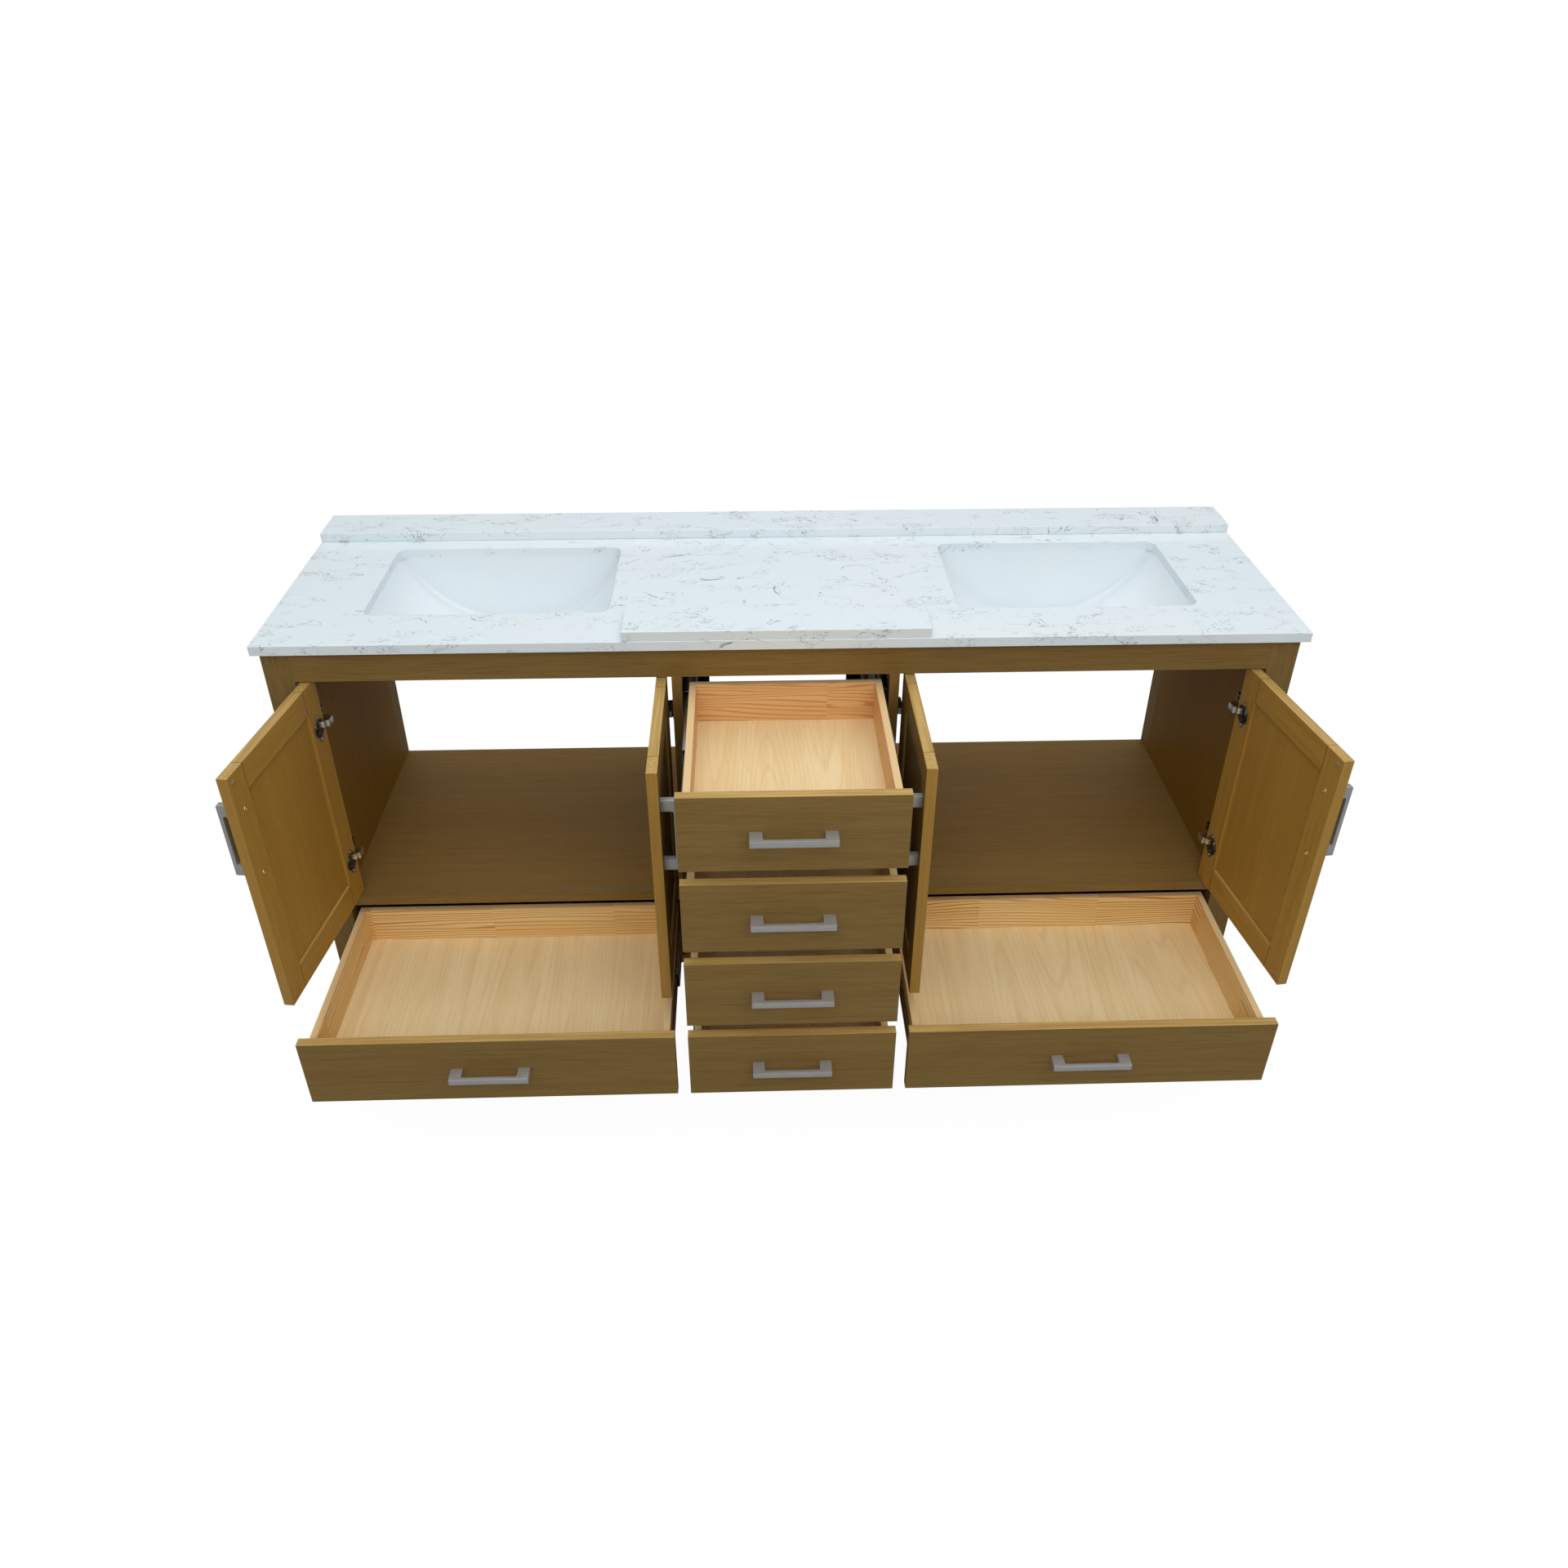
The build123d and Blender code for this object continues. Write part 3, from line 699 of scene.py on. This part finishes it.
def drawer_pieces(body, finish):
    """Pull, its screws, and the slide rails that move with a drawer."""
    left, right, top = drawer_bay(body)
    middle = (left + right) / 2
    grip_level = top - FRONT_HEIGHT / 2
    rail_level = top - BOX_LEVEL
    bm = bmesh.new()
    pull(bm, at(middle, FACE_Y - TRAVEL, grip_level))
    make(body + "_pull", bm, body, finish["pull"], [body + "_hardware"], 0.7)
    bm = bmesh.new()
    slide(bm, (left, right), rail_level, -TRAVEL, DRAWER_RAIL, (11.5, -1))
    make(body + "_slide_rails", bm, body, finish["rail"], (), 0.25)
    bm = bmesh.new()
    slide(bm, (left, right), rail_level, -TRAVEL / 2, RUNNER_RAIL)
    runners = body + "_runners"
    make(body + "_runner_rails", bm, runners, finish["rail"], [runners], 0.25)
    bm = bmesh.new()
    inner_wall = FRONT_BACK - TRAVEL + BOX_WALL
    for side in (-SCREW_APART, SCREW_APART):
        screw_head(bm, at(middle + side, inner_wall, grip_level) @ looking("y"))
    make(body + "_pull_screws", bm, body, finish["screw"])


def cabinet_rails(finish):
    """The fixed rails of every slide."""
    bm = bmesh.new()
    for body in DRAWERS:
        left, right, top = drawer_bay(body)
        slide(bm, (left, right), top - BOX_LEVEL, 0.0, CABINET_RAIL, (SLIDE_SHEET, 1))
    make("cabinet_rails", bm, "cabinet", finish["rail"], ["cabinet_slides"], 0.25)


# ------------------------------------------------------------------ hinges

HINGE_END = 90.0
CUP_X = -10.0
CUP_R = 17.5
CUP_SHEET = 0.8
CUP_BOTTOM = -3.5
CUP_NOTCH = 27.5
PLATE_FACE = 15.0
ARM_HALF = 6.0
LUG_Z = (6.4, 7.9)
DOOR_PULL_X = -290.25
DOOR_PULL_DROP = 136.0
BUMPER_IN = (13, 14)
BUMPER_DOME = ((0, 0), (5, 0), (5, 0.5), (4.2, 1.2), (2.4, 1.7), (0, 1.8))


def cup(bm, place):
    """Pressed cup with its rim, wings and screws, the pivot lugs and the pin."""
    back = DOOR_BACK / MM
    centre = place @ at(CUP_X, 0, 0) @ looking("y")
    rim = CUP_R + 2
    inner = CUP_R - CUP_SHEET
    floor = [(0, CUP_BOTTOM), (CUP_R, CUP_BOTTOM), (CUP_R, CUP_BOTTOM + CUP_SHEET)]
    revolve(bm, floor + [(0, CUP_BOTTOM + CUP_SHEET)], centre)
    wall = [(inner, CUP_BOTTOM + CUP_SHEET), (CUP_R, CUP_BOTTOM + CUP_SHEET), (CUP_R, back)]
    wall += [(rim, back), (rim, back + CUP_SHEET), (inner, back + CUP_SHEET)]
    revolve(bm, wall, centre, CUP_NOTCH, 360 - CUP_NOTCH, 40)
    for side in (-1, 1):
        wing = [(-7, side * 18.0), (7, side * 18.0)] + arc((2, side * 21), 5, 0, side * 90, 4)
        wing += arc((-2, side * 21), 5, side * 90, side * 180, 4)
        extrude(bm, wing, back, back + 0.7, centre)
        screw_head(bm, place @ at(CUP_X, back + 0.7, side * 22) @ looking("y"), 3.6, 1.8)
        lug = [(-2.6, CUP_BOTTOM), (2.6, CUP_BOTTOM), (2.6, 1.4)]
        lug += arc((0, 0.4), 2.6, 20, 160, 6) + [(-2.6, 1.4)]
        extrude(bm, lug, side * LUG_Z[0], side * LUG_Z[1], place)
    pin = [(0, -LUG_Z[1]), (1.0, -LUG_Z[1]), (1.0, LUG_Z[1]), (0, LUG_Z[1])]
    revolve(bm, pin, place, steps=16)


def arm(bm, place):
    """Swan-neck strip from the pin's eye, thickened where it turns back to the upright."""
    bend = arc((-13, 5.2), 3.2, 265, 195, 4)
    turn = arc((-16.6, 16.8), 3.2, 180, 90, 4)
    strip = ribbon([(-1.9, 0.2)] + bend + turn + [(11, 20)], 2.0)
    extrude(bm, strip, -ARM_HALF, ARM_HALF, place)
    eye = [(1.05, -ARM_HALF), (2.2, -ARM_HALF), (2.2, ARM_HALF), (1.05, ARM_HALF)]
    revolve(bm, eye, place, steps=20)
    block = [(-17.2, 5), (-19.2, 19.5), (3, 19.5), (3, 27), (-23, 27), (-25.5, 24), (-23.6, 6)]
    extrude(bm, block, -6.5, 6.5, place)


def arm_plate(bm, place):
    """Winged plate on the upright, its wood screws, and the body that holds the arm."""
    body = [(2, 21.2), (11.5, 21.2), (11.5, 60), (4, 60), (2, 57)]
    extrude(bm, body, -7.5, 7.5, place)
    for along in (33, 50):
        screw_head(bm, place @ at(2, along, 0) @ looking("x", -1), 3.4, 1.3)
    lying = place @ at(PLATE_FACE, 0, 0) @ looking("x", -1)
    side = [(9, 22), (9, 33)] + arc((17, 40), 7, -60, 60, 6) + [(9, 47), (9, 64), (6, 67)]
    extrude(bm, side + mirrored(side), 0, 2.4, lying)
    extrude(bm, [(-7, 24), (7, 24), (7, 62), (-7, 62)], 2.4, 3.6, lying)
    for edge in (-17, 17):
        screw_head(bm, lying @ at(edge, 40, 2.4), 3.6, 1.6)


def hinge_levels(door):
    """Heights of the two hinges in millimetres."""
    return [door.high / MM - HINGE_END, door.low / MM + HINGE_END]


def door_pieces(door, finish):
    """Pull, its screws, the hinge cups and the bumpers of one door."""
    body = door.name
    place = door.matrix()
    back = DOOR_BACK / MM
    grip_level = door.high / MM - DOOR_PULL_DROP
    bm = bmesh.new()
    grip = place @ at(DOOR_PULL_X, DOOR_FRONT / MM, grip_level)
    pull(bm, grip @ Matrix.Rotation(math.pi / 2, 4, "Y"))
    make(body + "_pull", bm, body, finish["upright_pull"], [body + "_hardware"], 0.7)
    bm = bmesh.new()
    for level in hinge_levels(door):
        cup(bm, place @ at(0, 0, level))
    make(body + "_hinge_cups", bm, body, finish["cup"])
    bm = bmesh.new()
    for drop in (-SCREW_APART, SCREW_APART):
        screw_head(bm, place @ at(DOOR_PULL_X, back, grip_level + drop) @ looking("y"), 4.2, 2.2)
    make(body + "_pull_screws", bm, body, finish["screw"])
    bm = bmesh.new()
    corner = (HINGE_EDGE - DOOR_WIDTH) / MM + BUMPER_IN[0]
    for level in (door.high / MM - BUMPER_IN[1], door.low / MM + BUMPER_IN[1]):
        revolve(bm, BUMPER_DOME, place @ at(corner, back, level) @ looking("y"))
    make(body + "_bumpers", bm, body, finish["bumper"])


def hinge_arm_pieces(doors, finish):
    """The fixed halves of every hinge."""
    arms, plates = bmesh.new(), bmesh.new()
    for door in doors:
        fixed = Matrix.Translation((door.pivot.x, door.pivot.y, 0))
        fixed = fixed @ Matrix.Diagonal((door.side, 1, 1, 1))
        for level in hinge_levels(door):
            arm(arms, fixed @ at(0, 0, level))
            arm_plate(plates, fixed @ at(0, 0, level))
    make("hinge_arm_bodies", arms, "cabinet", finish["plate"], ["hinge_arms"], 0.3)
    # The plates carry painted shade, a near-black metal colour.
    make("hinge_plates", plates, "cabinet", finish["dark"])


# ------------------------------------------------------------------ finishes and new pieces


def dress(node, material):
    """Give a CAD node its only material."""
    slots = NODES[node].data.materials
    slots.clear()
    slots.append(material)


STONE = stone()
GLAZE = glaze()
FINISH = {
    "pull": brushed("nickel_level", (0.53, 0.53, 0.515), "x", 0.40, 0.2, 0.55),
    "upright_pull": brushed("nickel_upright", (0.52, 0.52, 0.50), "z", 0.40, 0.2, 0.6),
    "plate": brushed("nickel_plate", (0.72, 0.70, 0.66), "z", 0.24, 0.15),
    "cup": brushed("bronze_nickel", (0.36, 0.31, 0.25), "z", 0.26, 0.2),
    # Painted shade: the hinge plates are near black because they sit in shade, not because of
    # their metal.
    "dark": brushed("bronze_plate", (0.055, 0.040, 0.030), "z", 0.34),
    "rail": brushed("zinc_steel", (0.42, 0.42, 0.42), "y", 0.36),
    "screw": brushed("yellow_zinc", (0.80, 0.63, 0.33), "x", 0.24),
    "bumper": rubber(),
}

for node in ("countertop", "backsplash", "side_splash"):
    dress(node, STONE)
for node in ("sink_bowl_left", "sink_bowl_right"):
    dress(node, GLAZE)
dress("front_posts", stained_wood("front_post_wood", "z", 1.0, FRONT_STAIN))
dress("rear_posts", stained_wood("rear_post_wood", "z", 2.3, FRONT_STAIN, sheen=0.08))
dress("top_rail", stained_wood("top_rail_wood", "x", 3.1, FRONT_STAIN))
dress("face_rails", stained_wood("face_rail_wood", "x", 4.7, FRONT_STAIN))
# The dividers' faces towards the middle bay get painted shade, near black.
dress("dividers", shade_painted_wood("divider_wood", "z", 5.2, "middle"))
dress("side_liners", stained_wood("liner_wood", "z", 6.4, LINER_STAIN, sheen=0.08, gloss=0.5))
dress("side_panels", stained_wood("side_panel_wood", "z", 7.9, FRONT_STAIN))
shelf = stained_wood("floor_wood", "x", 8.8, SHELF_STAIN, sheen=0.15, gloss=0.48)
dress("compartment_floors", shelf)
# The bottom boards' tops and the back frame's front get painted shade, near black, for the shade
# behind the drawers.
dress("bottom_boards", shade_painted_wood("bottom_board_wood", "x", 10.4, "top"))
dress("back_frame", shade_painted_wood("back_frame_wood", "x", 9.5, "front"))
# A different shift on each board keeps their figures apart.
for number, body in enumerate(DRAWERS):
    shift = 1.3 + 2.9 * number
    front = stained_wood(body + "_front_wood", "x", shift, FRONT_STAIN, edge_axis="y")
    dress(body + "_front", front)
    if body == "centre_drawer_1":
        dress(body + "_box", pine_wood(body + "_pine", shift, 0.95, RED_PINE, 0.11))
    else:
        dress(body + "_box", pine_wood(body + "_pine", shift, 1.3))
    dress(body + "_bottom", maple_board(body + "_maple", shift))
    dress(body + "_hardware", FINISH["pull"])
    dress(body + "_runners", FINISH["rail"])
    drawer_pieces(body, FINISH)
doors = [Door(body) for body in DOORS]
for number, door in enumerate(doors):
    dress(door.name + "_frame", door_frame_wood(door, 11.0 + 2.1 * number))
    dress(door.name + "_panel", door_panel_wood(door, 21.0 + 3.7 * number))
    dress(door.name + "_hardware", FINISH["upright_pull"])
    door_pieces(door, FINISH)
dress("cabinet_slides", FINISH["rail"])
dress("hinge_arms", FINISH["plate"])
cabinet_rails(FINISH)
hinge_arm_pieces(doors, FINISH)

# ------------------------------------------------------------------ studio

FLOOR_HALF = 60.0
CAMERA_AT = Vector((-0.0667, -2.4724, 1.8543))
CAMERA_YAW = math.radians(1.890)
CAMERA_PITCH = math.radians(33.754)
CAMERA_ROLL = math.radians(0.118)
CAMERA_LENS = 28.216
SENSOR_WIDTH = 36
VIEW_REACH = 300
SKY_RISE = (-0.05, 0.9, 0.26, 0.74)
SKY_TINT = (0.94, 0.97, 1.0, 1)


def studio_floor():
    """Pale ground that shows as white but throws back less light than it shows."""
    mesh = bpy.data.meshes.new("floor")
    signs = ((-1, -1), (1, -1), (1, 1), (-1, 1))
    corners = [(FLOOR_HALF * x, FLOOR_HALF * y, 0) for x, y in signs]
    mesh.from_pydata(corners, [], [(0, 1, 2, 3)])
    floor = bpy.data.objects.new("floor", mesh)
    bpy.context.scene.collection.objects.link(floor)
    graph = Graph("pale_floor", Base_Color=(0.42, 0.42, 0.42), Roughness=0.8)
    tree = graph.tree
    seen = tree.nodes.new("ShaderNodeLightPath").outputs["Is Camera Ray"]
    glow = graph.add("Emission", {"Color": (1, 1, 1), "Strength": 1.12})
    mixed = tree.nodes.new("ShaderNodeMixShader")
    tree.links.new(graph.math("MULTIPLY", seen, 0.86), mixed.inputs[0])
    tree.links.new(graph.shader.outputs[0], mixed.inputs[1])
    tree.links.new(glow.outputs[0], mixed.inputs[2])
    tree.links.new(mixed.outputs[0], tree.nodes["Material Output"].inputs[0])
    mesh.materials.append(graph.material)


def sky():
    """White to the camera; softer and brighter overhead for what the surfaces see."""
    world = bpy.data.worlds.new("studio")
    bpy.context.scene.world = world
    world.use_nodes = True
    tree = world.node_tree
    tree.nodes.clear()
    place = tree.nodes.new("ShaderNodeTexCoord")
    split = tree.nodes.new("ShaderNodeSeparateXYZ")
    tree.links.new(place.outputs["Generated"], split.inputs[0])
    rise = tree.nodes.new("ShaderNodeMapRange")
    rise.interpolation_type = "SMOOTHSTEP"
    for socket, value in enumerate(SKY_RISE, 1):
        rise.inputs[socket].default_value = value
    tree.links.new(split.outputs[2], rise.inputs[0])
    around = tree.nodes.new("ShaderNodeBackground")
    around.inputs[0].default_value = SKY_TINT
    tree.links.new(rise.outputs[0], around.inputs[1])
    white = tree.nodes.new("ShaderNodeBackground")
    white.inputs[0].default_value = (1, 1, 1, 1)
    mixed = tree.nodes.new("ShaderNodeMixShader")
    path = tree.nodes.new("ShaderNodeLightPath")
    out = tree.nodes.new("ShaderNodeOutputWorld")
    tree.links.new(path.outputs["Is Camera Ray"], mixed.inputs[0])
    tree.links.new(around.outputs[0], mixed.inputs[1])
    tree.links.new(white.outputs[0], mixed.inputs[2])
    tree.links.new(mixed.outputs[0], out.inputs[0])


def softbox(name, place, aim, size, power, tint):
    """Area light at a place, facing a point."""
    lamp = bpy.data.lights.new(name, "AREA")
    lamp.shape = "RECTANGLE"
    lamp.size, lamp.size_y = size
    lamp.energy = power
    lamp.color = tint
    holder = bpy.data.objects.new(name, lamp)
    bpy.context.scene.collection.objects.link(holder)
    holder.location = place
    holder.rotation_euler = (Vector(aim) - Vector(place)).to_track_quat("-Z", "Y").to_euler()


def camera():
    lens = bpy.data.cameras.new("camera")
    lens.lens = CAMERA_LENS
    lens.sensor_width = SENSOR_WIDTH
    lens.clip_end = VIEW_REACH
    eye = bpy.data.objects.new("camera", lens)
    bpy.context.scene.collection.objects.link(eye)
    level = Matrix.Rotation(-CAMERA_YAW, 4, "Z")
    aim = level @ Matrix.Rotation(math.pi / 2 - CAMERA_PITCH, 4, "X")
    eye.matrix_world = Matrix.Translation(CAMERA_AT) @ aim @ Matrix.Rotation(CAMERA_ROLL, 4, "Z")
    bpy.context.scene.camera = eye


bpy.context.scene.view_settings.view_transform = "Standard"
studio_floor()
sky()
softbox("overhead", (0.2, -0.5, 3.5), (0, -0.4, 0.8), (3.4, 2.4), 22, (1.0, 0.99, 0.97))
softbox("front", (0.3, -3.6, 3.2), (0, -0.7, 0.4), (4.2, 2.2), 48, (1.0, 0.97, 0.92))
camera()
